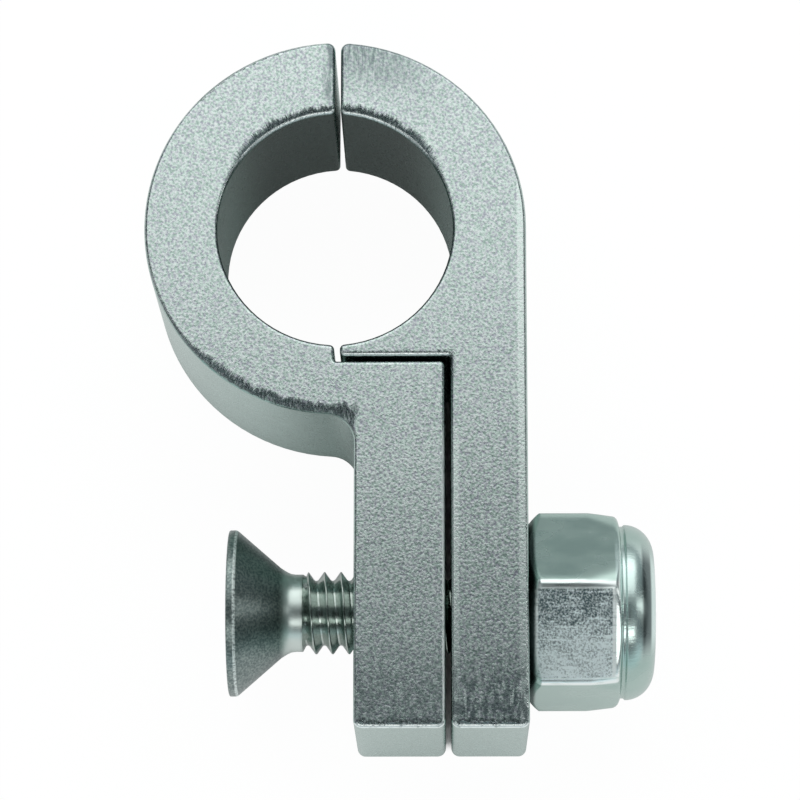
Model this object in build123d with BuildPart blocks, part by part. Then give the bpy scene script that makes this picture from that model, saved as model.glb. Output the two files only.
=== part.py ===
from build123d import *
import math
import os

# Two-piece billet P-clamp for a tube or hose, held by a countersunk socket screw and a lock nut.
# The clamp lies on its back face: the tube's axis is +Z, the legs run towards -Y, and the screw runs
# along X. The origin is the centre of the clamp bore, half way through the clamp's width.
# All sizes are in millimetres.

# Clamp body
clamp_width = 9.525          # 3/8 in bar, the length of the bore
ring_r = 9.3                 # outside of the ring
ring_rise = 0.13             # the ring's centre is this far above the bore's
bore_r = 5.77                # each jaw's half of the bore
arc_offset = 0.11            # each jaw's arcs are centred this far past the middle, in the other jaw
split_x = 0.12               # middle of the gap between the jaws
rest_gap = 0.27              # how far the jaws stand apart as shown
finger_thickness = 0.57      # right jaw's finger under the bore, where it is thinnest
finger_clearance = 0.24      # between the finger and the left jaw's shoulder
leg_length = 24.22           # from the bore's centre to the ends of the legs
left_leg_offset = 0.94       # from the bore's centre line to the left leg's outer face
left_leg_thickness = 4.32
leg_fillet = 1.4             # where the ring runs into the left leg
corner_r = 0.4               # outer corners of the outline, tumbled round
root_r = 0.15                # inner corners of the step
edge_r = 0.2                 # front and back edges, tumbled round
step_corner_extra = 0.04     # corners at the bore and the step are this much rounder than the edges
finger_corner_share = 0.45   # the finger's corners take no more than this share of its thickness
finger_edge_share = 0.4      # nor do its edges of this

# Screw, #8-32 with an 82 degree head
hole_from_end = 6.3          # from the screw's axis to the ends of the legs
screw_r = 2.0                # over the thread's crests
screw_length = 19.05         # 3/4 in, with the head
head_r = 4.0
head_rim = 0.37              # straight edge of the head
head_angle = 82.0
neck_relief = 0.14           # the plain neck under the head is this much smaller, in radius
neck_length = 0.7
tip_chamfer = 0.4
socket_flats = 2.38          # 3/32 in hexagon key
socket_depth = 1.4
socket_bevel = 0.15
key_clearance = 0.03         # the socket is this much wider than the key, in radius

# Holes for the screw
hole_clearance = 0.2         # round the screw, in both legs
hole_edge = 0.2              # bevel at the plain ends of the holes
seat_margin = 0.12           # the countersink is this much wider than the head, in radius

# Lock nut with a nylon ring
nut_flats = 8.58             # 11/32 in nominal, as measured
nut_turn = 23.5              # degrees from the front to the flat that shows most
nut_bevel_flat = 0.15        # the bearing face is this much smaller than the flats, in radius
nut_bevel_angle = 35.0
hex_length = 4.4             # hexagon, up to the groove under the collar
hex_slope_length = 1.53      # where the corners start to slope, before the groove
hex_slope_depth = 0.24       # how far they have come down, in radius, at the shoulder
hex_shoulder = 0.4           # steeper end of the hexagon, from there down to the groove
collar_inset = 0.08          # the collar is this much smaller than the flats, in radius
collar_groove = 0.08         # depth of the groove between hexagon and collar
collar_groove_length = 0.24
collar_length = 1.41         # from the groove to the nut's end
collar_wall = 0.6
collar_mouth = 0.7           # the opening inside the rolled lip is this much wider than the thread
thread_clearance = 0.05      # running clearance round the screw, in radius
thread_bevel = 0.3
ring_lead = 0.05             # the nylon ring starts this far before the collar
ring_slack = 0.02            # round the nylon ring in its pocket
tip_entry = 0.14             # how far the screw's end stands inside the nylon ring, as shown

# Places worked out from the sizes
back_z = -clamp_width / 2
left_split_x = split_x - rest_gap / 2
right_split_x = split_x + rest_gap / 2
left_leg_inner_x = left_leg_offset + left_leg_thickness
right_leg_inner_x = left_leg_inner_x + rest_gap
right_face_x = ring_r - arc_offset
ring_top_y = ring_rise + ring_r
finger_depth = bore_r + finger_thickness
shoulder_depth = finger_depth + finger_clearance
screw_y = hole_from_end - leg_length
nut_x = right_face_x
groove_x = nut_x + hex_length
collar_x = groove_x + collar_groove_length
nut_end_x = collar_x + collar_length
nylon_x = collar_x - ring_lead
tip_x = nylon_x + tip_entry
head_x = tip_x - screw_length
hole_r = screw_r + hole_clearance
thread_r = screw_r + thread_clearance
step_corner_r = edge_r + step_corner_extra
cone_run = math.tan(math.radians(head_angle / 2))
screw_axis = Axis((0, screw_y, 0), (1, 0, 0))
across_screw = Plane(origin=(0, screw_y, 0), x_dir=(0, 1, 0), z_dir=(1, 0, 0))


def corners(outline, points):
    """The outline's corners that lie nearest to the given points."""
    return [outline.vertices().sort_by_distance(Vector(x, y, back_z))[0] for x, y in points]


# Left jaw: half the ring, the shoulder under the split and the thicker leg
with BuildPart() as left_jaw:
    with BuildSketch(Plane.XY.offset(back_z)) as left_outline:
        with Locations((arc_offset, ring_rise)):
            Circle(ring_r)
        with Locations((left_split_x, -shoulder_depth)):
            Rectangle(2 * ring_r, 3 * ring_r, align=(Align.MIN, Align.MIN), mode=Mode.SUBTRACT)
        with Locations((left_leg_offset, -shoulder_depth)):
            Rectangle(left_leg_thickness, leg_length - shoulder_depth, align=(Align.MIN, Align.MAX))
        with Locations((left_leg_inner_x, 0)):
            Rectangle(2 * ring_r, 3 * ring_r, align=(Align.MIN, Align.CENTER), mode=Mode.SUBTRACT)
        with Locations((arc_offset, 0)):
            Circle(bore_r, mode=Mode.SUBTRACT)
        armpit_y = ring_rise - math.sqrt(ring_r**2 - (left_leg_offset - arc_offset) ** 2)
        fillet(corners(left_outline, [(left_leg_offset, armpit_y)]), leg_fillet)
        fillet(corners(left_outline, [(left_split_x, -shoulder_depth)]), root_r)
        left_outer_points = [
            (left_split_x, ring_top_y),
            (left_leg_inner_x, -leg_length),
            (left_leg_offset, -leg_length),
        ]
        fillet(corners(left_outline, left_outer_points), corner_r)
        left_step_points = [
            (left_split_x, bore_r),
            (left_split_x, -bore_r),
            (left_leg_inner_x, -shoulder_depth),
        ]
        fillet(corners(left_outline, left_step_points), step_corner_r)
    extrude(amount=clamp_width)
    fillet(left_jaw.faces().filter_by(Axis.Z).edges(), edge_r)
    seat_r = head_r + seat_margin
    left_face = Plane(origin=(left_leg_offset, screw_y, 0), x_dir=(0, 1, 0), z_dir=(-1, 0, 0))
    with Locations(left_face):
        CounterSinkHole(hole_r, seat_r, counter_sink_angle=head_angle)
    left_hole_end = left_jaw.edges().filter_by(GeomType.CIRCLE).sort_by_distance(
        Vector(left_leg_inner_x, screw_y, 0)
    )[0]
    chamfer(left_hole_end, hole_edge)
left_jaw.part.label = "left_jaw"

# Right jaw: the other half of the ring, the finger that hooks over the shoulder and the thinner leg
with BuildPart() as right_jaw:
    with BuildSketch(Plane.XY.offset(back_z)) as right_outline:
        with Locations((-arc_offset, ring_rise)):
            Circle(ring_r)
        with Locations((right_face_x, ring_rise)):
            Rectangle(right_face_x - right_split_x, ring_rise + finger_depth, align=(Align.MAX, Align.MAX))
        with Locations((right_face_x, -finger_depth)):
            Rectangle(
                right_face_x - right_leg_inner_x,
                leg_length - finger_depth,
                align=(Align.MAX, Align.MAX),
            )
        with Locations((right_split_x, 0)):
            Rectangle(2 * ring_r, 3 * ring_r, align=(Align.MAX, Align.CENTER), mode=Mode.SUBTRACT)
        with Locations((right_leg_inner_x, -finger_depth)):
            Rectangle(2 * ring_r, ring_r, align=(Align.MAX, Align.MAX), mode=Mode.SUBTRACT)
        with Locations((-arc_offset, 0)):
            Circle(bore_r, mode=Mode.SUBTRACT)
        fillet(corners(right_outline, [(right_leg_inner_x, -finger_depth)]), root_r)
        right_outer_points = [
            (right_split_x, ring_top_y),
            (right_leg_inner_x, -leg_length),
            (right_face_x, -leg_length),
        ]
        fillet(corners(right_outline, right_outer_points), corner_r)
        fillet(corners(right_outline, [(right_split_x, bore_r)]), step_corner_r)
        finger_points = [
            (right_split_x, -bore_r),
            (right_split_x, -finger_depth),
        ]
        finger_corner_r = min(step_corner_r, finger_corner_share * finger_thickness)
        fillet(corners(right_outline, finger_points), finger_corner_r)
    extrude(amount=clamp_width)
    right_edge_r = min(edge_r, finger_edge_share * finger_thickness)
    fillet(right_jaw.faces().filter_by(Axis.Z).edges(), right_edge_r)
    right_face = Plane(origin=(right_face_x, screw_y, 0), x_dir=(0, 1, 0), z_dir=(1, 0, 0))
    with Locations(right_face):
        Hole(hole_r)
    right_hole_ends = right_jaw.edges().filter_by(GeomType.CIRCLE).sort_by_distance(
        Vector((right_leg_inner_x + right_face_x) / 2, screw_y, 0)
    )[0:2]
    chamfer(right_hole_ends, hole_edge)
right_jaw.part.label = "right_jaw"

# Socket screw, turned about its axis; its thread is drawn as a plain shank over the crests
neck_r = screw_r - neck_relief
cone_x = head_x + head_rim
neck_x = cone_x + (head_r - neck_r) / cone_run
shank_x = neck_x + neck_length
with BuildPart() as socket_screw:
    with BuildSketch(Plane.XY) as screw_profile:
        with BuildLine():
            Polyline(
                (head_x, screw_y),
                (head_x, screw_y + head_r),
                (cone_x, screw_y + head_r),
                (neck_x, screw_y + neck_r),
                (shank_x, screw_y + neck_r),
                (shank_x + neck_relief, screw_y + screw_r),
                (tip_x - tip_chamfer, screw_y + screw_r),
                (tip_x, screw_y + screw_r - tip_chamfer),
                (tip_x, screw_y),
                close=True,
            )
        make_face()
    revolve(axis=screw_axis)
    socket_r = socket_flats / 2 + key_clearance
    with BuildSketch(across_screw.offset(head_x)):
        RegularPolygon(socket_r, 6, major_radius=False)
    extrude(amount=socket_depth, mode=Mode.SUBTRACT)
    bevel_r = socket_r / math.cos(math.pi / 6) + socket_bevel
    with BuildSketch(Plane.XY):
        with BuildLine():
            Polyline(
                (head_x, screw_y),
                (head_x, screw_y + bevel_r),
                (head_x + bevel_r, screw_y),
                close=True,
            )
        make_face()
    revolve(axis=screw_axis, mode=Mode.SUBTRACT)
socket_screw.part.label = "socket_screw"

# Lock nut: a hexagon bevelled at both ends, and the collar rolled over the nylon ring
corner_radius = nut_flats / 2 / math.cos(math.pi / 6)
bearing_r = nut_flats / 2 - nut_bevel_flat
bevel_length = (corner_radius - bearing_r) * math.tan(math.radians(nut_bevel_angle))
collar_r = nut_flats / 2 - collar_inset
groove_r = collar_r - collar_groove
pocket_r = collar_r - collar_wall
pocket_end_x = nut_end_x - collar_wall
mouth_r = thread_r + collar_mouth


def lip_arc(end_x, side_r):
    """Quarter of an ellipse from the collar's side, over its lip, to the radius of its opening."""
    EllipticalCenterArc(
        (collar_x, screw_y + mouth_r),
        end_x - collar_x,
        side_r - mouth_r,
        start_angle=0,
        arc_size=90,
    )


with BuildPart() as lock_nut:
    with BuildSketch(across_screw.offset(nut_x)):
        RegularPolygon(nut_flats / 2, 6, major_radius=False, rotation=nut_turn)
    extrude(amount=hex_length)
    with BuildSketch(Plane.XY):
        with BuildLine():
            Polyline(
                (nut_x, screw_y),
                (nut_x, screw_y + bearing_r),
                (nut_x + bevel_length, screw_y + corner_radius),
                (groove_x - hex_slope_length, screw_y + corner_radius),
                (groove_x - hex_shoulder, screw_y + corner_radius - hex_slope_depth),
                (groove_x, screw_y + groove_r),
                (groove_x, screw_y),
                close=True,
            )
        make_face()
    revolve(axis=screw_axis, mode=Mode.INTERSECT)
    with BuildSketch(Plane.XY):
        with BuildLine():
            Polyline(
                (groove_x, screw_y),
                (groove_x, screw_y + groove_r),
                (collar_x, screw_y + groove_r),
                (collar_x, screw_y + collar_r),
            )
            lip_arc(nut_end_x, collar_r)
            Polyline(
                (nut_end_x, screw_y + mouth_r),
                (nut_end_x, screw_y),
                (groove_x, screw_y),
            )
        make_face()
    revolve(axis=screw_axis)
    with BuildSketch(Plane.XY):
        with BuildLine():
            Polyline(
                (nut_x, screw_y),
                (nut_x, screw_y + thread_r + thread_bevel),
                (nut_x + thread_bevel, screw_y + thread_r),
                (nylon_x, screw_y + thread_r),
                (nylon_x, screw_y + pocket_r),
                (collar_x, screw_y + pocket_r),
            )
            lip_arc(pocket_end_x, pocket_r)
            Polyline(
                (pocket_end_x, screw_y + mouth_r),
                (nut_end_x, screw_y + mouth_r),
                (nut_end_x, screw_y),
                (nut_x, screw_y),
            )
        make_face()
    revolve(axis=screw_axis, mode=Mode.SUBTRACT)
lock_nut.part.label = "lock_nut"

# Nylon ring, held in the collar, with the outer corner of its end rounded as the lip is
ring_end_x = pocket_end_x - ring_slack
nylon_r = pocket_r - ring_slack
with BuildPart() as nylon_ring:
    with BuildSketch(Plane.XY):
        with BuildLine():
            Polyline(
                (ring_end_x, screw_y + mouth_r),
                (ring_end_x, screw_y + thread_r),
                (nylon_x, screw_y + thread_r),
                (nylon_x, screw_y + nylon_r),
                (collar_x, screw_y + nylon_r),
            )
            lip_arc(ring_end_x, nylon_r)
        make_face()
    revolve(axis=screw_axis)
nylon_ring.part.label = "nylon_ring"

os.makedirs("parts", exist_ok=True)
for piece in (left_jaw, right_jaw, socket_screw, lock_nut, nylon_ring):
    export_step(piece.part, f"parts/{piece.part.label}.step")
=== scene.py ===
import bpy
import bmesh
import math
from mathutils import Matrix, Vector


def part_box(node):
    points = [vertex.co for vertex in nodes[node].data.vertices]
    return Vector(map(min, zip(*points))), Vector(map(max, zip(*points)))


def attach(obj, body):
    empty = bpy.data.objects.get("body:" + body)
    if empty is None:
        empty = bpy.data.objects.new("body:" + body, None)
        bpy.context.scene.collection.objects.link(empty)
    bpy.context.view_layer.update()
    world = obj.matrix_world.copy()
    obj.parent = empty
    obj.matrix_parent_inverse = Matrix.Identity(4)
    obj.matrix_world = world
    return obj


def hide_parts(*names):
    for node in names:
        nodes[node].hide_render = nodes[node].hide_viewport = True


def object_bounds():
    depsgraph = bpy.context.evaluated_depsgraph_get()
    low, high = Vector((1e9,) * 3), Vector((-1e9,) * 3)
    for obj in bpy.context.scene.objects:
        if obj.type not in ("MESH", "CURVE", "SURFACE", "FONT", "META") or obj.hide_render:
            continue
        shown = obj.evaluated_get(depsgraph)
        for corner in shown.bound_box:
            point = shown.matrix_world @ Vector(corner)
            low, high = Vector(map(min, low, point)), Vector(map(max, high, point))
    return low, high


# Two-piece billet P-clamp with a countersunk socket screw and a lock nut. Units are metres, in the
# row frame: the bore runs along +Z, the legs towards -Y and the screw along X.
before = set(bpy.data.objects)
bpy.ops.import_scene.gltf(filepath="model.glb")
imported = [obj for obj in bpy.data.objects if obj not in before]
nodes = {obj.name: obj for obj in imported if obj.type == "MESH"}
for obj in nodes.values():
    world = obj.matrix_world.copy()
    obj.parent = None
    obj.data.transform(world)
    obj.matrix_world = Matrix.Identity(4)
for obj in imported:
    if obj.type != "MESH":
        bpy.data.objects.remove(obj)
cad_low, cad_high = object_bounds()
scene = bpy.context.scene
scene.view_settings.view_transform = "Standard"
MM = 0.001

# Camera, as fitted to the photograph
CAMERA_TILT = math.radians(13.64)
CAMERA_PAN = math.radians(0.73)
CAMERA_DISTANCE = 183.71 * MM
CAMERA_AIM = Vector((3.07, -7.36, 0)) * MM
FOCAL_PIXELS = 3761.3
PHOTO_PIXELS = 800
SENSOR_WIDTH = 36.0

# Sizes of the clamp that its finish follows
BORE_R = 5.77 * MM
RING_R = 9.3 * MM
RING_RISE = 0.13 * MM
ARC_OFFSET = 0.11 * MM
LEG_LENGTH = 24.22 * MM
HALF_WIDTH = 4.7625 * MM
FINGER_DEPTH = 6.34 * MM
SHOULDER_DEPTH = 6.58 * MM
LEFT_SPLIT_X = -0.015 * MM
RIGHT_SPLIT_X = 0.255 * MM
LEFT_LEG_X = (0.94 * MM, 5.26 * MM)
RIGHT_LEG_X = (5.53 * MM, 9.19 * MM)
GAP_MIDDLE_X = 5.4 * MM
SCREW_Y = -17.92 * MM

# Worn zones along the jaws' edges: the least width, what the widest have more, and the width at
# which an edge is rolled right over
WEAR_WIDTH = 0.12 * MM
WEAR_EXTRA = 0.42 * MM
WEAR_FULL = 0.5 * MM

# Screw
PITCH = 25.4 * MM / 32
CREST_R = 1.98 * MM
ROOT_R = 1.56 * MM
THREAD_LEAD_IN = 1.28
THREAD_RUN_OUT = 0.35 * PITCH
TURN_STEPS = 96
TIP_CHAMFER = 0.42 * MM
TIP_R = ROOT_R - 0.03 * MM
TIP_FLAT_R = ROOT_R - 0.25 * MM
HEAD_R = 4.0 * MM
HEAD_RIM = 0.37 * MM
HEAD_ANGLE = math.radians(82)
CONE_X = -4.75 * MM
NECK_R = 1.86 * MM
NECK_LENGTH = 0.7 * MM
NECK_ROUND = 0.35 * MM
RIM_ROUND = 0.06 * MM
SOCKET_FLATS = 2.44 * MM
SOCKET_DEPTH = 1.4 * MM
SOCKET_BEVEL = 0.16 * MM

# Lock nut
NUT_FLATS = 8.58 * MM
NUT_TURN = math.radians(23.5)
NUT_BEVEL_FLAT = 0.15 * MM
NUT_BEVEL_ANGLE = math.radians(35)
NUT_STEPS = 252
HEX_LENGTH = 4.4 * MM
HEX_SLOPE = 1.53 * MM
HEX_SLOPE_DEPTH = 0.24 * MM
HEX_SHOULDER = 0.4 * MM
HEX_SOFTNESS = 0.26 * MM
HEX_START_X = 9.5 * MM
HEX_END_X = 13.3 * MM
COLLAR_INSET = 0.08 * MM
COLLAR_WALL = 0.6 * MM
GROOVE = 0.08 * MM
GROOVE_LENGTH = 0.24 * MM
MOUTH_R = 2.75 * MM
NUT_THREAD_R = 2.05 * MM
THREAD_BEVEL = 0.3 * MM

# Colours of the tumbled aluminium, with painted shade and painted highlight among them; where there are
# two, the finish wanders between them
DARK_GRAIN = ((0.33, 0.43, 0.39, 1), (0.37, 0.38, 0.44, 1))
PALE_GRAIN = ((0.70, 0.80, 0.765, 1), (0.755, 0.805, 0.80, 1))
# Painted shade: the dark grey laid on the worn edges, in streaks beside the split and at the ring's top,
# and mottled towards the legs' ends
SHADE_GREY = (0.15, 0.19, 0.20, 1)
BARE_SIDE = ((0.365, 0.49, 0.455, 1), (0.385, 0.515, 0.48, 1))
# Painted shade just inside the top of the bore
BORE_TOP_SHADE = (0.11, 0.145, 0.135, 1)
# Painted highlight: the bright line on rounded edges
HIGHLIGHT_WHITE = (0.93, 0.98, 0.97, 1)

# Colours of the screw, the nut and the nylon, with painted shade and painted highlights among them
THREAD_STEEL = ((0.40, 0.45, 0.42, 1), (0.50, 0.56, 0.53, 1))
# Painted highlight: the neck lighter than the thread
NECK_HIGHLIGHT = (0.66, 0.73, 0.70, 1)
# Painted shade: the head darker than the thread
SHADED_HEAD_STEEL = ((0.16, 0.20, 0.20, 1), (0.36, 0.42, 0.40, 1))
# Painted highlight on the edge between the head's rim and its cone
RIDGE_HIGHLIGHT = (0.92, 0.98, 0.96, 1)
NUT_STEEL = ((0.42, 0.55, 0.51, 1), (0.48, 0.60, 0.56, 1))
# Painted glints and dark specks on the nut's middle flat
GLINT_SPECKS = ((0.10, 0.14, 0.15, 1), (0.88, 0.96, 0.97, 1))
# Painted highlight on the middle flat's borders
BORDER_HIGHLIGHT = (0.95, 1.0, 0.99, 1)
# Painted highlight on the collar's upper side
COLLAR_HIGHLIGHT = (0.72, 0.86, 0.83, 1)
# Painted shade: a dark crescent on the collar
COLLAR_SHADE = (0.16, 0.2, 0.2, 1)
# Painted shade at the nut's foot, next to the clamp
CONTACT_SHADE = (0.05, 0.065, 0.065, 1)
NYLON = ((0.78, 0.78, 0.73, 1), (0.86, 0.86, 0.82, 1))
PAPER = (0.86, 0.86, 0.86, 1)
TENT_CLOTH = (0.84, 1.0, 1.04, 1)
LAMP_LIGHT = (0.985, 1.0, 0.975)


def new_material(name):
    """A material with only its shader and output, its node tree and its shader."""
    material = bpy.data.materials.new(name)
    material.use_nodes = True
    return material, material.node_tree, material.node_tree.nodes["Principled BSDF"]


class Wiring:
    """Short calls that add nodes to one material, or to the world."""

    def __init__(self, tree, coords="Object"):
        self.tree = tree
        self.coords = tree.nodes.new("ShaderNodeTexCoord").outputs[coords]

    def put(self, socket, value):
        if isinstance(value, bpy.types.NodeSocket):
            self.tree.links.new(value, socket)
        else:
            socket.default_value = value

    def math(self, operation, a, b=0.0, c=0.0, clamp=False):
        node = self.tree.nodes.new("ShaderNodeMath")
        node.operation = operation
        node.use_clamp = clamp
        for socket, value in zip(node.inputs, (a, b, c)):
            self.put(socket, value)
        return node.outputs[0]

    def chain(self, operation, values):
        result = values[0]
        for value in values[1:]:
            result = self.math(operation, result, value)
        return result

    def least(self, *values):
        return self.chain("MINIMUM", values)

    def most(self, *values):
        return self.chain("MAXIMUM", values)

    def times(self, *values):
        return self.chain("MULTIPLY", values)

    def plus(self, a, b, clamp=False):
        return self.math("ADD", a, b, clamp=clamp)

    def minus(self, a, b):
        return self.math("SUBTRACT", a, b)

    def without(self, share):
        return self.minus(1.0, share)

    def unsigned(self, value):
        return self.math("ABSOLUTE", value)

    def length(self, a, b):
        return self.math("SQRT", self.plus(self.times(a, a), self.times(b, b)))

    def split(self, vector):
        node = self.tree.nodes.new("ShaderNodeSeparateXYZ")
        self.put(node.inputs[0], vector)
        return node.outputs

    def join(self, x, y, z):
        node = self.tree.nodes.new("ShaderNodeCombineXYZ")
        for socket, value in zip(node.inputs, (x, y, z)):
            self.put(socket, value)
        return node.outputs[0]

    def stretched(self, scale):
        """The coordinates scaled, so that a noise runs out into streaks."""
        node = self.tree.nodes.new("ShaderNodeMapping")
        self.put(node.inputs["Vector"], self.coords)
        node.inputs["Scale"].default_value = scale
        return node.outputs[0]

    def slanted(self):
        """The coordinates turned, so that a noise shows no rows along the axes."""
        node = self.tree.nodes.new("ShaderNodeMapping")
        self.put(node.inputs["Vector"], self.coords)
        node.inputs["Rotation"].default_value = (0.62, 0.47, 0.81)
        return node.outputs[0]

    def noise(self, vector, scale, detail=2.0, roughness=0.5):
        node = self.tree.nodes.new("ShaderNodeTexNoise")
        self.put(node.inputs["Vector"], vector)
        node.inputs["Scale"].default_value = scale
        node.inputs["Detail"].default_value = detail
        node.inputs["Roughness"].default_value = roughness
        return node.outputs[0]

    def ramp(self, value, low, high, to_low=0.0, to_high=1.0, smooth=True):
        """to_low where the value is at or before low, to_high at or past high, eased between."""
        node = self.tree.nodes.new("ShaderNodeMapRange")
        node.interpolation_type = "SMOOTHSTEP" if smooth else "LINEAR"
        for socket, number in zip(node.inputs, (value, low, high, to_low, to_high)):
            self.put(socket, number)
        return node.outputs[0]

    def mix(self, share, a, b):
        node = self.tree.nodes.new("ShaderNodeMix")
        node.data_type = "RGBA"
        self.put(node.inputs[0], share)
        self.put(node.inputs[6], a)
        self.put(node.inputs[7], b)
        return node.outputs[2]

    def mix_value(self, share, a, b):
        return self.math("MULTIPLY_ADD", share, self.minus(b, a), a)

    def mix_direction(self, share, a, b):
        node = self.tree.nodes.new("ShaderNodeVectorMath")
        node.operation = "NORMALIZE"
        self.put(node.inputs[0], self.mix(share, a, b))
        return node.outputs[0]

    def bump(self, height, strength=1.0):
        """The surface's direction with the height, in metres, standing on it."""
        node = self.tree.nodes.new("ShaderNodeBump")
        node.inputs["Strength"].default_value = strength
        node.inputs["Distance"].default_value = 1.0
        self.put(node.inputs["Height"], height)
        return node.outputs[0]


def dress(piece, material):
    """Gives a piece or a CAD node its one material."""
    if not piece.material_slots:
        piece.data.materials.append(material)
    for slot in piece.material_slots:
        slot.material = material


def place_camera():
    """The camera where the photograph was taken from."""
    camera_data = bpy.data.cameras.new("camera")
    camera_data.sensor_width = SENSOR_WIDTH
    camera_data.lens = FOCAL_PIXELS / PHOTO_PIXELS * SENSOR_WIDTH
    camera_data.clip_start = 0.01
    camera = bpy.data.objects.new("camera", camera_data)
    camera.rotation_euler = (CAMERA_TILT, CAMERA_PAN, 0)
    level = math.cos(CAMERA_TILT)
    back = Vector((math.sin(CAMERA_PAN) * level, -math.sin(CAMERA_TILT), math.cos(CAMERA_PAN) * level))
    camera.location = CAMERA_AIM + CAMERA_DISTANCE * back
    scene.collection.objects.link(camera)
    scene.camera = camera


def hang_tent():
    """A dim tent, darker at its sides and over the camera, with the pale table low in front of it."""
    world = bpy.data.worlds.new("studio")
    world.use_nodes = True
    scene.world = world
    background = world.node_tree.nodes["Background"]
    background.inputs["Color"].default_value = TENT_CLOTH
    w = Wiring(world.node_tree, "Generated")
    x, y, z = w.split(w.coords)
    overhead = w.plus(w.times(z, math.cos(CAMERA_TILT)), w.times(y, -math.sin(CAMERA_TILT)))
    cloth = w.times(
        w.ramp(y, 0.08, 0.7, 0.16, 0.26),
        w.ramp(y, -0.78, -0.62, 0.4, 1.0),
        w.ramp(w.unsigned(x), 0.7, 0.9, 1.0, 0.5),
        w.ramp(overhead, 0.965, 0.988, 1.0, 0.1),
    )
    table = w.times(w.ramp(z, 0.1, 0.55, 0.8, 0.0), w.ramp(y, -0.8, -0.4, 1.0, 0.0))
    w.put(background.inputs["Strength"], w.plus(cloth, table))


def hang_soft_box(name, place, width, height, brightness):
    """A rectangular lamp that faces the clamp."""
    light = bpy.data.lights.new(name, "AREA")
    light.shape = "RECTANGLE"
    light.size = width
    light.size_y = height
    light.energy = brightness * math.pi * width * height
    light.color = LAMP_LIGHT
    lamp = bpy.data.objects.new(name, light)
    lamp.location = place
    clamp_middle = Vector((0.004, -0.008, 0))
    lamp.rotation_euler = (Vector(place) - clamp_middle).to_track_quat("Z", "Y").to_euler()
    scene.collection.objects.link(lamp)


def lay_paper():
    """White paper under the clamp: it shows white, keeps the shadow and is pale in the metal."""
    sheet = bmesh.new()
    bmesh.ops.create_grid(sheet, x_segments=1, y_segments=1, size=1.5)
    mesh = bpy.data.meshes.new("floor")
    sheet.to_mesh(mesh)
    sheet.free()
    mesh.transform(Matrix.Translation((0, 0, cad_low[2])))
    floor = bpy.data.objects.new("floor", mesh)
    scene.collection.objects.link(floor)
    dress(floor, white_paper())


def white_paper():
    """Paper that glows a little to the camera, and less where the clamp stands close over it."""
    paper, tree, shader = new_material("white_paper")
    shader.inputs["Base Color"].default_value = PAPER
    shader.inputs["Roughness"].default_value = 0.9
    shader.inputs["Specular IOR Level"].default_value = 0.1
    w = Wiring(tree)
    x, y = w.split(w.coords)[:2]
    rays = tree.nodes.new("ShaderNodeLightPath").outputs
    glow = tree.nodes.new("ShaderNodeEmission")
    glow.inputs["Strength"].default_value = 1.04
    open_sky = tree.nodes.new("ShaderNodeAmbientOcclusion")
    open_sky.samples = 8
    open_sky.inputs["Distance"].default_value = 25 * MM
    openness = open_sky.outputs["AO"]
    in_metal = w.times(w.most(rays["Is Glossy Ray"], rays["Is Transmission Ray"]),
                       w.ramp(openness, 0.08, 0.75, 0.0, 0.6))
    # A fixed mask takes the glow away under the gap between the legs: a painted shadow there
    under_gap = w.times(
        w.ramp(w.unsigned(w.minus(x, GAP_MIDDLE_X)), 0.8 * MM, 0.5 * MM),
        w.ramp(y, -5.0 * MM, -6.0 * MM),
        w.ramp(y, -24.0 * MM, -23.4 * MM),
        w.ramp(openness, 0.3, 0.18),
    )
    in_view = w.times(rays["Is Camera Ray"], w.without(under_gap), 0.93)
    blend = tree.nodes.new("ShaderNodeMixShader")
    w.put(blend.inputs[0], w.most(in_view, in_metal))
    tree.links.new(shader.outputs[0], blend.inputs[1])
    tree.links.new(glow.outputs[0], blend.inputs[2])
    tree.links.new(blend.outputs[0], tree.nodes["Material Output"].inputs["Surface"])
    return paper


class JawFinish:
    """What both jaws' finish is worked out from: places on the jaw, its noises and its wear."""

    def __init__(self, w, arc_x):
        self.w = w
        self.x, self.y, self.z = w.split(w.coords)
        from_arc = w.minus(self.x, arc_x)
        self.depth = w.minus(HALF_WIDTH, w.unsigned(self.z))
        self.off_bore = w.minus(w.length(from_arc, self.y), BORE_R)
        self.at_bore_top = w.ramp(self.y, 1.5 * MM, 5.0 * MM)
        self.inside_ring = w.minus(RING_R, w.length(from_arc, w.minus(self.y, RING_RISE)))
        self.fine = w.noise(w.slanted(), 8300.0, 1.0, 0.55)
        self.coarse = w.noise(w.coords, 1200.0, 2.0, 0.5)
        around = w.times(w.math("ARCTAN2", self.y, self.x), 1.3 * RING_R)
        across = w.times(w.length(self.x, self.y), 0.2)
        self.strokes = w.noise(w.join(around, across, self.z), 6000.0, 3.0, 0.7)
        self.wander = w.plus(w.ramp(self.coarse, 0.35, 0.65, -0.1, 0.1),
                             w.ramp(self.strokes, 0.3, 0.7, -0.24, 0.24, smooth=False))

    def wear(self, from_edge, wider):
        """How far a point lies inside an edge's worn zone, whose width grows with wider, from 0 to 1."""
        w = self.w
        wide = w.math("MULTIPLY_ADD", wider, WEAR_EXTRA, WEAR_WIDTH)
        return w.minus(w.times(wide, w.plus(1.0, self.wander)), from_edge)


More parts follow.
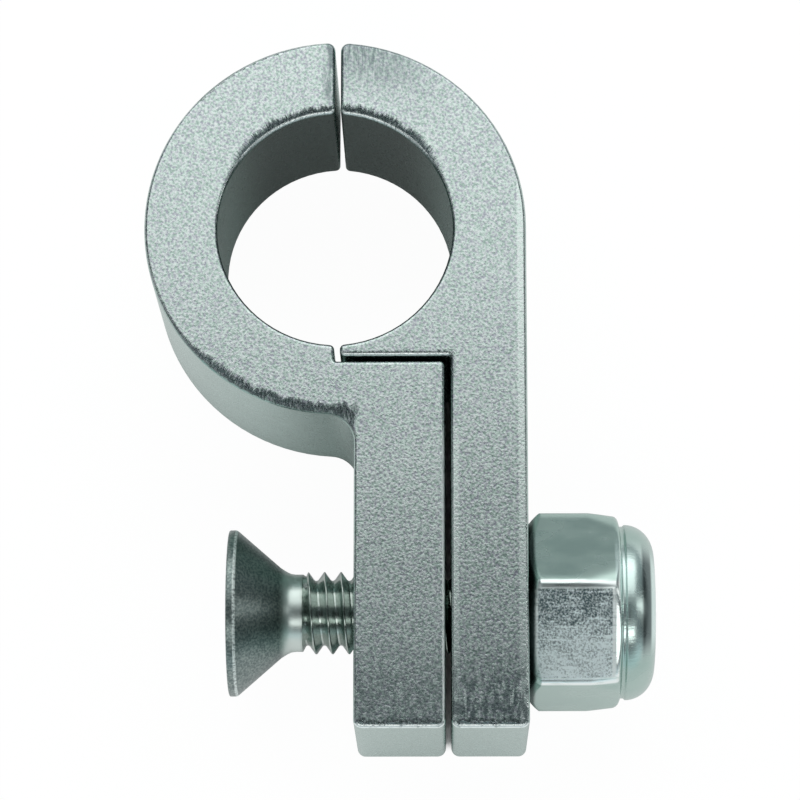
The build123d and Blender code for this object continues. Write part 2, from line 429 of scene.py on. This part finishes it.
def left_wear(jaw):
    """Worn zones along the left jaw's own edges: outside, under the ring and at the step."""
    w, x, y = jaw.w, jaw.x, jaw.y
    leg_sides = w.least(w.minus(x, LEFT_LEG_X[0]), w.minus(LEFT_LEG_X[1], x))
    outside = w.math("SMOOTH_MAX", jaw.inside_ring, leg_sides, 1.0 * MM)
    under_ring = w.times(w.ramp(y, -4.0 * MM, -7.0 * MM), w.ramp(y, -10.2 * MM, -8.6 * MM),
                         w.ramp(x, 3.0 * MM, 1.5 * MM))
    step = w.most(w.minus(LEFT_SPLIT_X, x), w.minus(-SHOULDER_DEPTH, y))
    return w.most(jaw.wear(outside, under_ring), jaw.wear(step, 0.0))


def right_wear(jaw):
    """Worn zones along the right jaw's own edges: outside, at the split and under the finger."""
    w, x, y = jaw.w, jaw.x, jaw.y
    outside = w.mix_value(w.math("GREATER_THAN", y, RING_RISE), w.minus(RIGHT_LEG_X[1], x),
                          jaw.inside_ring)
    outside = w.least(outside, w.minus(x, RIGHT_SPLIT_X))
    step = w.most(w.plus(y, FINGER_DEPTH), w.minus(x, RIGHT_LEG_X[0]))
    at_finger = w.ramp(y, -9 * MM, -7 * MM, 0.0, 0.4)
    return w.most(jaw.wear(outside, 0.0), jaw.wear(step, at_finger))


def left_marks(jaw):
    """The left jaw's painted shade in streaks beside the split, and a painted highlight along its leg's
    inner edge.
    """
    w, x, y = jaw.w, jaw.x, jaw.y
    streaks = w.noise(w.stretched((1.0, 0.15, 1.0)), 5200.0, 2.0, 0.6)
    painted_shade = w.times(w.ramp(x, -0.75 * MM, -0.3 * MM), w.ramp(y, 6.0 * MM, 7.0 * MM),
                     w.ramp(streaks, 0.35, 0.55, 0.2, 0.9))
    inner_x = LEFT_LEG_X[1]
    painted_highlight = w.times(w.ramp(x, inner_x - 0.24 * MM, inner_x - 0.2 * MM),
                        w.ramp(y, -9.0 * MM, -11.0 * MM, 0.0, 0.85))
    return painted_shade, painted_highlight


def right_marks(jaw):
    """The right jaw's painted shade in streaks at the ring's top, and a painted highlight along its
    finger's lower edge.
    """
    w, x, y = jaw.w, jaw.x, jaw.y
    streaks = w.noise(w.stretched((1.0, 0.12, 1.0)), 8200.0, 2.0, 0.65)
    painted_shade = w.times(w.ramp(jaw.inside_ring, 3.2 * MM, 0.2 * MM), w.ramp(x, 6.0 * MM, 1.4 * MM),
                     w.ramp(y, 4.0 * MM, 6.0 * MM), w.ramp(streaks, 0.35, 0.65, 0.35, 1.0))
    finger_y = -FINGER_DEPTH
    inner_x = RIGHT_LEG_X[0]
    painted_highlight = w.times(w.ramp(y, finger_y + 0.26 * MM, finger_y + 0.22 * MM),
                        w.ramp(x, inner_x + 0.1 * MM, inner_x - 0.2 * MM))
    return painted_shade, painted_highlight


def tumbled_grain(jaw, scratches, own_shade, worn, rubbed):
    """Colour of the flat sides: pale and dark grains, scratched towards the leg's end, with painted shade
    and painted light bands laid over them.
    """
    w, x, y = jaw.w, jaw.x, jaw.y
    at_end = w.ramp(y, -19.5 * MM, -22.8 * MM)
    scratch = w.noise(w.stretched((1.0, 0.07, 1.0)), 6500.0, 1.0, 0.5)
    scratched = w.times(w.ramp(scratch, 0.62, 0.68), at_end, scratches)
    # Painted light: pale bands along the right leg's inner and outer edges, and a faint pale wash over
    # the left leg
    inner_edge = w.times(w.ramp(x, 5.98 * MM, 5.83 * MM), w.ramp(y, -9.0 * MM, -12.0 * MM))
    painted_light_edges = w.times(w.most(inner_edge, w.ramp(x, 8.7 * MM, 8.8 * MM)), 0.75 * scratches)
    mottle = w.noise(w.stretched((1.0, 0.4, 1.0)), 3600.0, 2.0, 0.6)
    # Painted shade, mottled, towards the leg's end, joined by the marks' streaked painted shade and
    # cleared on the scratches
    end_shade = w.times(at_end, w.ramp(mottle, 0.42, 0.58, 0.1, 0.45 + 0.45 * scratches))
    painted_shade = w.times(w.most(end_shade, own_shade), w.without(scratched), 0.85)
    # Painted shade on the worn, rolled edges, cleared where they are rubbed
    painted_shade = w.times(w.most(painted_shade, w.ramp(worn, 0.0, 0.62, 0.0, 0.88)), w.without(rubbed))
    pale = w.plus(w.ramp(jaw.fine, 0.33, 0.67, smooth=False), w.plus(scratched, painted_light_edges), clamp=True)
    tint = w.ramp(w.noise(w.slanted(), 7000.0, 0.0, 0.5), 0.4, 0.6)
    dark_grain = w.mix(tint, *DARK_GRAIN)
    pale_grain = w.mix(tint, *PALE_GRAIN)
    return w.mix(painted_shade, w.mix(pale, dark_grain, pale_grain), SHADE_GREY)


def machined_side(jaw):
    """Colour of the jaws' other sides, with painted shade just inside the top of the bore."""
    w = jaw.w
    bore_top_shade = w.times(w.ramp(jaw.off_bore, 0.12 * MM, 0.05 * MM), jaw.at_bore_top)
    bare = w.mix(w.ramp(jaw.coarse, 0.3, 0.7), *BARE_SIDE)
    return w.mix(bore_top_shade, bare, BORE_TOP_SHADE)


def painted_highlight_line(jaw, own_highlight):
    """A painted highlight: the bright line on the rounded edges at the bore's top, at the leg's end and
    where marked.
    """
    w, y = jaw.w, jaw.y
    on_round = w.times(w.ramp(jaw.depth, 0.17 * MM, 0.12 * MM), w.ramp(jaw.depth, 0.001 * MM, 0.012 * MM))
    bore_edge = w.times(w.ramp(jaw.off_bore, 0.26 * MM, 0.22 * MM), w.ramp(y, 2.2 * MM, 4.6 * MM))
    leg_end = w.ramp(y, 0.26 * MM - LEG_LENGTH, 0.22 * MM - LEG_LENGTH)
    where = w.most(bore_edge, leg_end, own_highlight)
    return w.times(where, on_round, w.ramp(jaw.strokes, 0.3, 0.5, 0.35, 1.0))


def rolled_edge(w, worn):
    """Height of the flat side where it is worn round, falling ever faster towards the edge."""
    gentle = w.times(w.math("POWER", worn, 1.8), 0.18)
    steep = w.times(w.most(w.minus(worn, 0.42), 0.0), 0.34)
    return w.times(w.plus(gentle, steep), -WEAR_FULL)


def jaw_metal(name, arc_x, own_wear, own_marks, scratches):
    """Tumbled aluminium: a fine glittering grain, with the edges of the flat sides worn round."""
    material, tree, shader = new_material(name)
    w = Wiring(tree)
    jaw = JawFinish(w, arc_x)
    on_face = w.ramp(jaw.depth, 0.15 * MM, 0.02 * MM)
    bore_wear = jaw.wear(jaw.off_bore, jaw.at_bore_top)
    end_wear = jaw.wear(w.plus(jaw.y, LEG_LENGTH), 0.8)
    worn = w.math("DIVIDE", w.most(bore_wear, own_wear(jaw), end_wear, 0.0), WEAR_FULL)
    rubbed = w.times(w.ramp(worn, 0.5, 0.9), w.ramp(jaw.strokes, 0.47, 0.58, 0.0, 0.9), on_face)
    own_shade, own_highlight = own_marks(jaw)
    painted_highlight = painted_highlight_line(jaw, own_highlight)

    grain = tumbled_grain(jaw, scratches, own_shade, worn, rubbed)
    colour = w.mix(on_face, machined_side(jaw), grain)
    # A painted highlight, the bright line, laid over the colour on the rounded edges
    w.put(shader.inputs["Base Color"], w.mix(painted_highlight, colour, HIGHLIGHT_WHITE))
    shader.inputs["Metallic"].default_value = 1.0
    rough = w.mix_value(rubbed, w.ramp(jaw.fine, 0.3, 0.7, 0.22, 0.29, smooth=False), 0.6)
    w.put(shader.inputs["Roughness"], w.mix_value(painted_highlight, rough, 0.36))
    side_relief = w.bump(w.times(jaw.fine, 0.001 * MM))
    face_relief = w.bump(w.plus(w.times(jaw.fine, 0.008 * MM), rolled_edge(w, worn)))
    dented = w.times(on_face, w.without(painted_highlight))
    w.put(shader.inputs["Normal"], w.mix_direction(dented, side_relief, face_relief))
    return material


def screw_metal():
    """Turned stainless steel: bright on the thread, a painted highlight on the neck and along the head's
    rim, painted shade on the flecked head.
    """
    material, tree, shader = new_material("turned_stainless")
    w = Wiring(tree)
    x = w.split(w.coords)["X"]
    on_head = w.ramp(x, -2.35 * MM, -2.75 * MM)
    on_neck = w.ramp(x, -1.55 * MM, -1.75 * MM)
    fleck = w.noise(w.coords, 9000.0, 2.0, 0.6)
    rings = w.noise(w.stretched((5.0, 0.3, 0.3)), 3000.0, 2.0, 0.5)
    # Painted highlight on the edge between the head's rim and its cone
    painted_ridge = w.times(w.ramp(w.unsigned(w.minus(x, CONE_X)), 0.09 * MM, 0.04 * MM),
                    w.ramp(fleck, 0.35, 0.55, 0.2, 0.9))
    thread = w.mix(w.ramp(fleck, 0.3, 0.7), *THREAD_STEEL)
    # Painted highlight: the neck lighter than the thread
    shank = w.mix(on_neck, thread, NECK_HIGHLIGHT)
    # Painted shade: the head darker than the thread
    head = w.mix(w.ramp(fleck, 0.35, 0.7), *SHADED_HEAD_STEEL)
    w.put(shader.inputs["Base Color"], w.mix(painted_ridge, w.mix(on_head, shank, head), RIDGE_HIGHLIGHT))
    shader.inputs["Metallic"].default_value = 1.0
    rough = w.mix_value(on_head, w.ramp(x, -1.5 * MM, -1.7 * MM, 0.2, 0.34),
                        w.ramp(rings, 0.3, 0.7, 0.3, 0.38))
    w.put(shader.inputs["Roughness"], w.mix_value(painted_ridge, rough, 0.65))
    w.put(shader.inputs["Normal"], w.bump(w.times(fleck, w.mix_value(on_head, 0.003 * MM, 0.012 * MM))))
    return material


def nut_metal():
    """Formed and tumbled stainless steel: painted glints on one flat, painted highlights on its borders
    and the collar, painted shade on the collar and at the foot.
    """
    material, tree, shader = new_material("formed_stainless")
    w = Wiring(tree)
    x, y, z = w.split(w.coords)
    turn = w.math("ARCTAN2", w.minus(SCREW_Y, y), z)
    past_middle = w.minus(turn, NUT_TURN)
    off_middle = w.unsigned(past_middle)
    on_hexagon = w.ramp(x, HEX_END_X + 0.05 * MM, HEX_END_X - 0.1 * MM)
    flecked = w.times(w.ramp(off_middle, math.radians(28.2), math.radians(26.2)), on_hexagon)
    fleck = w.noise(w.slanted(), 10500.0, 3.0, 0.7)
    patch = w.noise(w.slanted(), 1100.0, 2.0, 0.5)
    cloud = w.ramp(w.noise(w.stretched((0.6, 1.0, 1.0)), 700.0, 2.0, 0.5), 0.3, 0.7)
    lines = w.noise(w.stretched((0.12, 1.0, 1.0)), 9000.0, 2.0, 0.5)
    brushed = w.noise(w.stretched((0.15, 1.0, 1.0)), 6000.0, 1.0, 0.5)

    # Painted light on the middle flat: glints and dark specks from the noises, lighter towards one side
    down_flat = w.ramp(w.math("DIVIDE", past_middle, math.radians(30)), -0.9, 0.6, -0.25, 0.38)
    shine = w.plus(w.plus(w.ramp(fleck, 0.35, 0.67), w.ramp(patch, 0.35, 0.65, -0.15, 0.15)),
                   w.plus(down_flat, w.ramp(brushed, 0.55, 0.7, 0.0, 0.45)), clamp=True)
    painted_glints = w.mix(shine, *GLINT_SPECKS)
    even = w.mix(cloud, *NUT_STEEL)

    # Painted highlight along the middle flat's borders
    side_border = w.times(w.ramp(off_middle, math.radians(26.2), math.radians(27.6)), on_hexagon)
    end_border = w.times(w.ramp(x, HEX_END_X - 0.22 * MM, HEX_END_X - 0.14 * MM),
                         w.ramp(x, HEX_END_X + 0.2 * MM, HEX_END_X + 0.1 * MM))
    foot_border = w.times(w.ramp(x, HEX_START_X - 0.08 * MM, HEX_START_X),
                          w.ramp(x, HEX_START_X + 0.16 * MM, HEX_START_X + 0.06 * MM))
    painted_border = w.times(w.most(side_border, end_border, foot_border),
                     w.ramp(off_middle, math.radians(33), math.radians(31)),
                     w.ramp(brushed, 0.3, 0.5, 0.5, 1.0))

    # Painted highlight on the collar's upper side, with a painted dark crescent in it
    bright_side = w.times(w.ramp(w.unsigned(turn), math.radians(50), math.radians(25)),
                          w.without(on_hexagon))
    shade_crescent = w.times(bright_side, w.ramp(x, 14.5 * MM, 14.65 * MM), w.ramp(x, 15.05 * MM, 14.93 * MM))
    collar = w.mix(shade_crescent, w.mix(bright_side, even, COLLAR_HIGHLIGHT), COLLAR_SHADE)
    metal = w.mix(flecked, w.mix(on_hexagon, collar, even), painted_glints)
    metal = w.mix(painted_border, metal, BORDER_HIGHLIGHT)
    # Painted shade at the foot, next to the clamp
    shaded_foot = w.ramp(x, HEX_START_X + 0.1 * MM, HEX_START_X - 0.12 * MM)
    w.put(shader.inputs["Base Color"], w.mix(shaded_foot, metal, CONTACT_SHADE))
    shader.inputs["Metallic"].default_value = 1.0
    w.put(shader.inputs["Roughness"], w.mix_value(flecked, w.mix_value(cloud, 0.24, 0.3), 0.4))
    pitted = w.times(fleck, w.math("MULTIPLY_ADD", flecked, 0.05 * MM, 0.001 * MM))
    drawn = w.times(lines, w.mix_value(on_hexagon, 0.006 * MM, 0.002 * MM))
    w.put(shader.inputs["Normal"], w.bump(w.plus(pitted, drawn)))
    return material


def nylon_material():
    """Natural nylon, slightly cloudy."""
    material, tree, shader = new_material("natural_nylon")
    w = Wiring(tree)
    cloud = w.noise(w.coords, 1800.0, 3.0, 0.5)
    w.put(shader.inputs["Base Color"], w.mix(w.ramp(cloud, 0.3, 0.7), *NYLON))
    shader.inputs["Roughness"].default_value = 0.42
    shader.inputs["Subsurface Weight"].default_value = 0.1
    w.put(shader.inputs["Normal"], w.bump(w.times(cloud, 0.01 * MM), 0.5))
    return material


def finish_piece(name, shape, material, body, node, smooth_angle):
    """Makes a bmesh a finished piece that stands for a CAD node and rides on its body."""
    bmesh.ops.recalc_face_normals(shape, faces=shape.faces)
    for face in shape.faces:
        face.smooth = True
    for edge in shape.edges:
        edge.smooth = not edge.is_manifold or edge.calc_face_angle(0.0) < smooth_angle
    mesh = bpy.data.meshes.new(name)
    shape.to_mesh(mesh)
    shape.free()
    piece = bpy.data.objects.new(name, mesh)
    scene.collection.objects.link(piece)
    dress(piece, material)
    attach(piece, body)
    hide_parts(node)


def line_of(shape, points):
    """A row of joined vertices through points given as (x, radius), above the screw's axis."""
    verts = [shape.verts.new((x, SCREW_Y + r, 0.0)) for x, r in points]
    edges = [shape.edges.new(pair) for pair in zip(verts, verts[1:])]
    return verts + edges


def spin_profile(shape, parts, steps, advance, close):
    """Spins a profile once round the screw's axis, moving it on along the axis at each step."""
    bmesh.ops.spin(
        shape, geom=parts, cent=(0, SCREW_Y, 0), axis=(1, 0, 0), dvec=(advance, 0, 0),
        angle=math.tau, steps=steps, use_merge=close, use_normal_flip=False, use_duplicate=False,
    )


def radius_of(vert):
    return math.hypot(vert.co.y - SCREW_Y, vert.co.z)


def set_radius(vert, radius):
    share = radius / max(radius_of(vert), 1e-9)
    vert.co.y = SCREW_Y + (vert.co.y - SCREW_Y) * share
    vert.co.z *= share


def straight(start, end, count):
    """Points from start to end, both included."""
    return [tuple(a + (b - a) * i / count for a, b in zip(start, end)) for i in range(count + 1)]


def arc_points(centre, sizes, start, end, count):
    """Points (x, radius) along part of an ellipse, angles in degrees."""
    points = []
    for i in range(count + 1):
        angle = math.radians(start + (end - start) * i / count)
        points.append((centre[0] + sizes[0] * math.cos(angle), centre[1] + sizes[1] * math.sin(angle)))
    return points


def extrude_edges(shape, edges):
    """Extrudes a loop of edges and gives the new vertices and the new open edges."""
    made = bmesh.ops.extrude_edge_only(shape, edges=edges)["geom"]
    verts = [g for g in made if isinstance(g, bmesh.types.BMVert)]
    return verts, [g for g in made if isinstance(g, bmesh.types.BMEdge) and g.is_boundary]


def draw_on(shape, edges, x, radius):
    """Draws an open end of the skin on to a circle of the given radius at x."""
    verts, loop = extrude_edges(shape, edges)
    for vert in verts:
        vert.co.x = x
        set_radius(vert, radius)
    return loop


def open_edges_at(shape, x):
    return [e for e in shape.edges if e.is_boundary and all(abs(v.co.x - x) < 1e-6 for v in e.verts)]


def wind_thread(shape, thread_x, tip_x):
    """Winds the thread as a helix, cuts its ends square and runs it out at the neck and the tip."""
    low_flank = ROOT_R + 0.05 * MM
    high_flank = CREST_R - 0.09 * MM
    shoulder = CREST_R - 0.025 * MM
    tooth = ((0.0, ROOT_R), (0.10, ROOT_R), (0.20, low_flank), (0.45, high_flank), (0.50, shoulder),
             (0.54, CREST_R), (0.58, CREST_R), (0.62, shoulder), (0.67, high_flank), (0.92, low_flank))
    turns = math.ceil((tip_x - thread_x) / PITCH) + 2
    start = thread_x - THREAD_LEAD_IN * PITCH
    profile = [(start + (i + share) * PITCH, r) for i in range(turns) for share, r in tooth]
    spin_profile(shape, line_of(shape, profile), TURN_STEPS, PITCH / TURN_STEPS, close=False)
    bmesh.ops.remove_doubles(shape, verts=shape.verts, dist=2e-7)
    for place, direction in ((thread_x, 1), (tip_x, -1)):
        bmesh.ops.bisect_plane(
            shape, geom=shape.verts[:] + shape.edges[:] + shape.faces[:], dist=1e-8,
            plane_co=(place, 0, 0), plane_no=(-direction, 0, 0), clear_outer=True, clear_inner=False,
        )
    for vert in shape.verts:
        share = min(1.0, max(0.0, (vert.co.x - thread_x) / THREAD_RUN_OUT))
        share = share * share * (3 - 2 * share)
        base = NECK_R + (ROOT_R - NECK_R) * min(1.0, 2.2 * share)
        radius = base + (radius_of(vert) - ROOT_R) * share
        to_tip = tip_x - vert.co.x
        if to_tip < TIP_CHAMFER:
            radius = min(radius, TIP_R + to_tip)
        set_radius(vert, radius)


def press_socket(shape, loop, head_x):
    """Joins the head's face to the hexagon socket and draws the socket down to its floor."""
    corner_r = SOCKET_FLATS / math.sqrt(3)
    hexagon = bmesh.ops.create_circle(shape, cap_ends=False, radius=corner_r, segments=6)["verts"]
    place = Matrix.Translation((head_x + SOCKET_BEVEL, SCREW_Y, 0)) @ Matrix.Rotation(math.pi / 2, 4, "Y")
    bmesh.ops.transform(shape, matrix=place, verts=hexagon)
    bmesh.ops.subdivide_edges(shape, edges=[e for e in shape.edges if not e.link_faces], cuts=7)
    sides = [e for e in shape.edges if not e.link_faces]
    bmesh.ops.bridge_loops(shape, edges=loop + sides)
    verts, foot = extrude_edges(shape, [e for e in shape.edges if e.is_boundary])
    for vert in verts:
        vert.co.x = head_x + SOCKET_DEPTH
    floor = bmesh.ops.edgeloop_fill(shape, edges=foot)["faces"]
    bmesh.ops.poke(shape, faces=floor)


def make_screw(material):
    """The screw as one skin: its thread, then the tip, neck, head and socket drawn on from the ends."""
    low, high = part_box("socket_screw")
    head_x, tip_x = low.x, high.x
    cone_run = math.tan(HEAD_ANGLE / 2)
    cone_x = head_x + HEAD_RIM
    neck_x = cone_x + (HEAD_R - NECK_R) / cone_run
    thread_x = neck_x + NECK_LENGTH
    socket_r = SOCKET_FLATS / math.sqrt(3)
    shape = bmesh.new()
    wind_thread(shape, thread_x, tip_x)
    tip = draw_on(shape, open_edges_at(shape, tip_x), tip_x, TIP_FLAT_R)
    bmesh.ops.edgeloop_fill(shape, edges=tip)
    loop = open_edges_at(shape, thread_x)
    neck_head_and_face = (
        (neck_x + NECK_ROUND, NECK_R),
        (neck_x + 0.4 * NECK_ROUND, NECK_R + 0.03 * MM),
        (neck_x - 0.15 * NECK_ROUND, NECK_R + 0.12 * MM),
        (neck_x - NECK_ROUND, NECK_R + NECK_ROUND * cone_run),
        (cone_x + RIM_ROUND, HEAD_R - RIM_ROUND * cone_run),
        (cone_x, HEAD_R - 0.02 * MM),
        (cone_x - RIM_ROUND, HEAD_R),
        (head_x + RIM_ROUND, HEAD_R),
        (head_x + 0.3 * RIM_ROUND, HEAD_R - 0.3 * RIM_ROUND),
        (head_x, HEAD_R - RIM_ROUND),
        (head_x, socket_r + 0.3 * MM),
        (head_x + 0.1 * MM, socket_r + 0.12 * MM),
    )
    for x, radius in neck_head_and_face:
        loop = draw_on(shape, loop, x, radius)
    press_socket(shape, loop, head_x)
    finish_piece("turned_socket_screw", shape, material, "screw", "socket_screw",
                 smooth_angle=math.radians(30))


def nut_profile(nut_x, end_x, nylon_x):
    """The nut's closed outline from its bearing face round the collar and back through the thread."""
    flat = NUT_FLATS / 2
    corner = NUT_FLATS / math.sqrt(3)
    bearing = flat - NUT_BEVEL_FLAT
    bevel = (corner - bearing) * math.tan(NUT_BEVEL_ANGLE)
    shoulder_r = corner - HEX_SLOPE_DEPTH
    collar_r = flat - COLLAR_INSET
    groove_r = collar_r - GROOVE
    pocket_r = collar_r - COLLAR_WALL
    mouth_edge_r = NUT_THREAD_R + THREAD_BEVEL
    groove_x = nut_x + HEX_LENGTH
    slope_x = groove_x - HEX_SLOPE
    shoulder_x = groove_x - HEX_SHOULDER
    collar_x = groove_x + GROOVE_LENGTH
    collar_arc_x = collar_x + 0.03 * MM
    pocket_end = end_x - COLLAR_WALL
    profile = straight((nut_x, mouth_edge_r), (nut_x, bearing), 5)
    profile += straight((nut_x, bearing), (nut_x + bevel, corner), 7)
    profile += straight((nut_x + bevel, corner), (slope_x, corner), 24)
    profile += straight((slope_x, corner), (shoulder_x, shoulder_r), 14)
    profile += arc_points((shoulder_x, groove_r), (HEX_SHOULDER, shoulder_r - groove_r), 90, 4, 12)
    profile += [(groove_x + 0.04 * MM, groove_r), (collar_x - 0.06 * MM, groove_r)]
    profile += [(collar_x - 0.01 * MM, collar_r - 0.03 * MM)]
    profile += arc_points((collar_arc_x, MOUTH_R), (end_x - collar_arc_x, collar_r - MOUTH_R), 90, 0, 24)
    profile += [(end_x - 0.04 * MM, MOUTH_R - 0.03 * MM), (pocket_end, MOUTH_R)]
    profile += arc_points((collar_x, MOUTH_R), (pocket_end - collar_x, pocket_r - MOUTH_R), 0, 90, 10)[1:]
    profile += [(nylon_x, pocket_r), (nylon_x, NUT_THREAD_R), (nut_x + THREAD_BEVEL, NUT_THREAD_R)]
    return profile + [profile[0]]


def press_flats(shape, groove_x):
    """Presses the turned sides to six flats with soft corners, as far as the groove."""
    flat = NUT_FLATS / 2
    sixth = math.pi / 3
    for vert in shape.verts:
        radius = radius_of(vert)
        if vert.co.x > groove_x - 0.015 * MM or radius < flat * 0.9:
            continue
        angle = math.atan2(vert.co.y - SCREW_Y, vert.co.z) + NUT_TURN
        off_middle = (angle + sixth / 2) % sixth - sixth / 2
        hexagon_r = flat / math.cos(off_middle)
        pull = max(HEX_SOFTNESS - abs(radius - hexagon_r), 0) ** 2 / (4 * HEX_SOFTNESS)
        set_radius(vert, min(radius, hexagon_r) - pull)


def make_nut(material):
    """The nut as one turned skin whose sides are pressed to six flats."""
    low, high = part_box("lock_nut")
    nylon_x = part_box("nylon_ring")[0].x
    shape = bmesh.new()
    line_of(shape, nut_profile(low.x, high.x, nylon_x))
    bmesh.ops.remove_doubles(shape, verts=shape.verts, dist=1e-7)
    spin_profile(shape, shape.verts[:] + shape.edges[:], NUT_STEPS, 0.0, close=True)
    bmesh.ops.remove_doubles(shape, verts=shape.verts, dist=1e-7)
    press_flats(shape, low.x + HEX_LENGTH)
    finish_piece("formed_lock_nut", shape, material, "nut", "lock_nut",
                 smooth_angle=math.radians(50))


place_camera()
hang_tent()
hang_soft_box("light_above", (0.0, 0.09, 0.126), 0.24, 0.16, 0.94)
hang_soft_box("light_far", (0.0, 0.55, 0.3), 0.9, 0.4, 0.35)
hang_soft_box("strip_near", (0.0, -0.262, 0.31), 0.5, 0.1, 1.9)
hang_soft_box("strip_right", (0.35, -0.008, 0.2), 0.04, 0.3, 2.6)
hang_soft_box("strip_left", (-0.35, -0.008, 0.2), 0.04, 0.3, 0.8)
lay_paper()

dress(nodes["left_jaw"], jaw_metal("tumbled_aluminium_left", ARC_OFFSET, left_wear, left_marks, 0.15))
dress(nodes["right_jaw"], jaw_metal("tumbled_aluminium_right", -ARC_OFFSET, right_wear, right_marks, 1.0))
dress(nodes["nylon_ring"], nylon_material())
make_screw(screw_metal())
make_nut(nut_metal())
